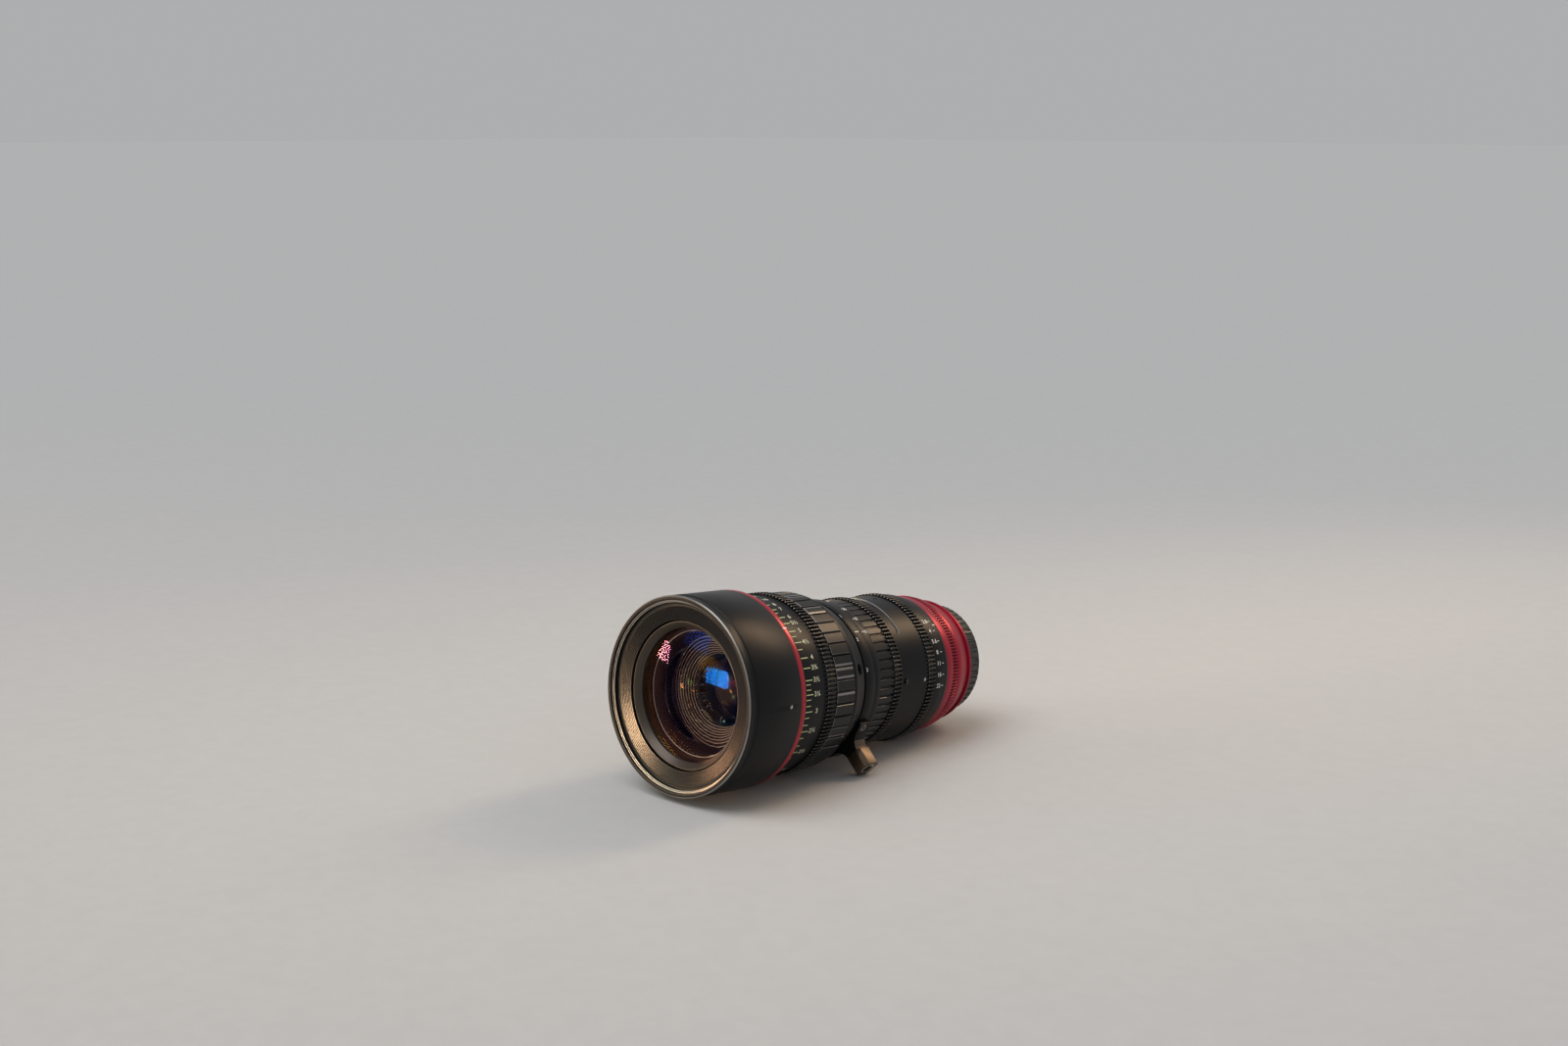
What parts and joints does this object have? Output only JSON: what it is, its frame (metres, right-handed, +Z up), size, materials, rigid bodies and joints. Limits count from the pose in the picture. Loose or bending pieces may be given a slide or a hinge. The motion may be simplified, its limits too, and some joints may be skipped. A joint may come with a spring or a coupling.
{
  "type": "cinema zoom lens",
  "caption": "Cinema zoom lens lying on its side foot: geared focus, zoom and iris rings, sliding lens groups, an iris of thin blades, a red lock ring and a capped bayonet.",
  "frame": {"origin": "centre of the camera-mount flange, on the optical axis", "axes": "the lens lies on a table as it rests: +Z is up, +X is the side that the foot leans to, and the lens looks towards -Y, its optical axis in the YZ plane and its rear end 5 degrees lower, because the front barrel is fatter than the iris gear"},
  "size_m": [0.114, 0.2403, 0.1175],
  "materials": {
    "black_anodised": "satin black anodised aluminium",
    "black_plastic": "black moulded plastic",
    "black_steel": "blackened steel",
    "brass": "turned brass",
    "glass": "coated optical glass",
    "red_anodised": "red anodised aluminium",
    "steel": "bright steel"
  },
  "bodies": {
    "lens_barrel": {"front_barrel": "black_anodised", "red_band": "red_anodised", "light_baffle_ring": "black_anodised", "front_retaining_ring": "black_anodised", "front_element": "glass", "front_cell": "black_anodised", "second_element": "glass", "focus_guide_tube": "black_anodised", "centre_barrel": "black_anodised", "barrel_screws": "black_steel", "foot_bracket": "black_steel", "foot_block": "black_steel", "foot_thread_insert": "steel", "foot_screws": "black_steel", "main_barrel": "black_anodised", "zoom_guide_tube": "black_anodised", "rear_barrel": "black_anodised", "iris_base_plate": "black_anodised", "iris_cover_plate": "black_anodised", "relay_cell": "black_anodised", "relay_element": "glass", "rear_index_ring": "black_anodised", "red_collar": "red_anodised", "red_mount_housing": "red_anodised", "bayonet_mount": "steel", "mount_screws": "steel"},
    "focus_ring": {"focus_scale_ring": "black_anodised", "focus_gear": "black_anodised", "focus_grip": "black_anodised"},
    "focus_group": {"focus_cell": "black_anodised", "focus_element": "glass", "focus_followers": "steel"},
    "zoom_ring": {"zoom_scale_ring": "black_anodised", "zoom_grip": "black_anodised", "zoom_gear": "black_anodised", "zoom_key": "steel", "zoom_cam_tube": "brass"},
    "variator_group": {"variator_cell": "black_anodised", "variator_element": "glass", "variator_followers": "steel"},
    "compensator_group": {"compensator_cell": "black_anodised", "compensator_element": "glass", "compensator_followers": "steel"},
    "iris_ring": {"iris_gear": "black_anodised", "iris_scale_ring": "black_anodised", "iris_key": "steel", "iris_drive_ring": "brass"},
    "lock_ring": {"lock_ring": "red_anodised"},
    "rear_cap": {"rear_cap": "black_plastic"},
    "iris_blade_01": {"iris_blade_01": "black_steel"},
    "iris_blade_02": {"iris_blade_02": "black_steel"},
    "iris_blade_03": {"iris_blade_03": "black_steel"},
    "iris_blade_04": {"iris_blade_04": "black_steel"},
    "iris_blade_05": {"iris_blade_05": "black_steel"},
    "iris_blade_06": {"iris_blade_06": "black_steel"},
    "iris_blade_07": {"iris_blade_07": "black_steel"},
    "iris_blade_08": {"iris_blade_08": "black_steel"},
    "iris_blade_09": {"iris_blade_09": "black_steel"},
    "iris_blade_10": {"iris_blade_10": "black_steel"},
    "iris_blade_11": {"iris_blade_11": "black_steel"}
  },
  "joints": [
    {"name": "focus_turn", "type": "hinge", "parent": "lens_barrel", "child": "focus_ring", "pos_m": [0, 0, 0], "axis": [0, 0.9962, -0.0874], "range_deg": [-150, 150]},
    {"name": "focus_travel", "type": "slide", "parent": "lens_barrel", "child": "focus_group", "axis": [0, 0.9962, -0.0874], "range_m": [-0.004, 0.004]},
    {"name": "zoom_turn", "type": "hinge", "parent": "lens_barrel", "child": "zoom_ring", "pos_m": [0, 0, 0], "axis": [0, 0.9962, -0.0874], "range_deg": [-80, 80]},
    {"name": "variator_travel", "type": "slide", "parent": "lens_barrel", "child": "variator_group", "axis": [0, 0.9962, -0.0874], "range_m": [-0.012, 0.012]},
    {"name": "compensator_travel", "type": "slide", "parent": "lens_barrel", "child": "compensator_group", "axis": [0, 0.9962, -0.0874], "range_m": [-0.004, 0.004]},
    {"name": "iris_turn", "type": "hinge", "parent": "lens_barrel", "child": "iris_ring", "pos_m": [0, 0, 0], "axis": [0, 0.9962, -0.0874], "range_deg": [-30, 30]},
    {"name": "iris_blade_01_swing", "type": "hinge", "parent": "lens_barrel", "child": "iris_blade_01", "pos_m": [0, -0.05433, 0.03288], "axis": [0, 0.9962, -0.0874], "range_deg": [-20, 20]},
    {"name": "iris_blade_02_swing", "type": "hinge", "parent": "lens_barrel", "child": "iris_blade_02", "pos_m": [0.01514, -0.05472, 0.02845], "axis": [0, 0.9962, -0.0874], "range_deg": [-20, 20]},
    {"name": "iris_blade_03_swing", "type": "hinge", "parent": "lens_barrel", "child": "iris_blade_03", "pos_m": [0.02547, -0.05576, 0.01657], "axis": [0, 0.9962, -0.0874], "range_deg": [-20, 20]},
    {"name": "iris_blade_04_swing", "type": "hinge", "parent": "lens_barrel", "child": "iris_blade_04", "pos_m": [0.02772, -0.05713, 0.00101], "axis": [0, 0.9962, -0.0874], "range_deg": [-20, 20]},
    {"name": "iris_blade_05_swing", "type": "hinge", "parent": "lens_barrel", "child": "iris_blade_05", "pos_m": [0.02116, -0.05838, -0.01328], "axis": [0, 0.9962, -0.0874], "range_deg": [-20, 20]},
    {"name": "iris_blade_06_swing", "type": "hinge", "parent": "lens_barrel", "child": "iris_blade_06", "pos_m": [0.00789, -0.05913, -0.02178], "axis": [0, 0.9962, -0.0874], "range_deg": [-20, 20]},
    {"name": "iris_blade_07_swing", "type": "hinge", "parent": "lens_barrel", "child": "iris_blade_07", "pos_m": [-0.00789, -0.05913, -0.02178], "axis": [0, 0.9962, -0.0874], "range_deg": [-20, 20]},
    {"name": "iris_blade_08_swing", "type": "hinge", "parent": "lens_barrel", "child": "iris_blade_08", "pos_m": [-0.02116, -0.05838, -0.01328], "axis": [0, 0.9962, -0.0874], "range_deg": [-20, 20]},
    {"name": "iris_blade_09_swing", "type": "hinge", "parent": "lens_barrel", "child": "iris_blade_09", "pos_m": [-0.02772, -0.05713, 0.00101], "axis": [0, 0.9962, -0.0874], "range_deg": [-20, 20]},
    {"name": "iris_blade_10_swing", "type": "hinge", "parent": "lens_barrel", "child": "iris_blade_10", "pos_m": [-0.02547, -0.05576, 0.01657], "axis": [0, 0.9962, -0.0874], "range_deg": [-20, 20]},
    {"name": "iris_blade_11_swing", "type": "hinge", "parent": "lens_barrel", "child": "iris_blade_11", "pos_m": [-0.01514, -0.05472, 0.02845], "axis": [0, 0.9962, -0.0874], "range_deg": [-20, 20]},
    {"name": "lock_turn", "type": "hinge", "parent": "lens_barrel", "child": "lock_ring", "pos_m": [0, 0, 0], "axis": [0, 0.9962, -0.0874], "range_deg": [0, 60]},
    {"name": "rear_cap_pull", "type": "slide", "parent": "lens_barrel", "child": "rear_cap", "axis": [0, 0.9962, -0.0874], "range_m": [0, 0.03]}
  ],
  "couplings": [
    {"joint": "focus_travel", "follows": "focus_turn", "m_per_rad": 0.0015279},
    {"joint": "variator_travel", "follows": "zoom_turn", "m_per_rad": 0.0085944},
    {"joint": "compensator_travel", "follows": "zoom_turn", "m_per_rad": -0.0028648},
    {"joint": "iris_blade_01_swing", "follows": "iris_turn", "ratio": 0.66667},
    {"joint": "iris_blade_02_swing", "follows": "iris_turn", "ratio": 0.66667},
    {"joint": "iris_blade_03_swing", "follows": "iris_turn", "ratio": 0.66667},
    {"joint": "iris_blade_04_swing", "follows": "iris_turn", "ratio": 0.66667},
    {"joint": "iris_blade_05_swing", "follows": "iris_turn", "ratio": 0.66667},
    {"joint": "iris_blade_06_swing", "follows": "iris_turn", "ratio": 0.66667},
    {"joint": "iris_blade_07_swing", "follows": "iris_turn", "ratio": 0.66667},
    {"joint": "iris_blade_08_swing", "follows": "iris_turn", "ratio": 0.66667},
    {"joint": "iris_blade_09_swing", "follows": "iris_turn", "ratio": 0.66667},
    {"joint": "iris_blade_10_swing", "follows": "iris_turn", "ratio": 0.66667},
    {"joint": "iris_blade_11_swing", "follows": "iris_turn", "ratio": 0.66667}
  ]
}
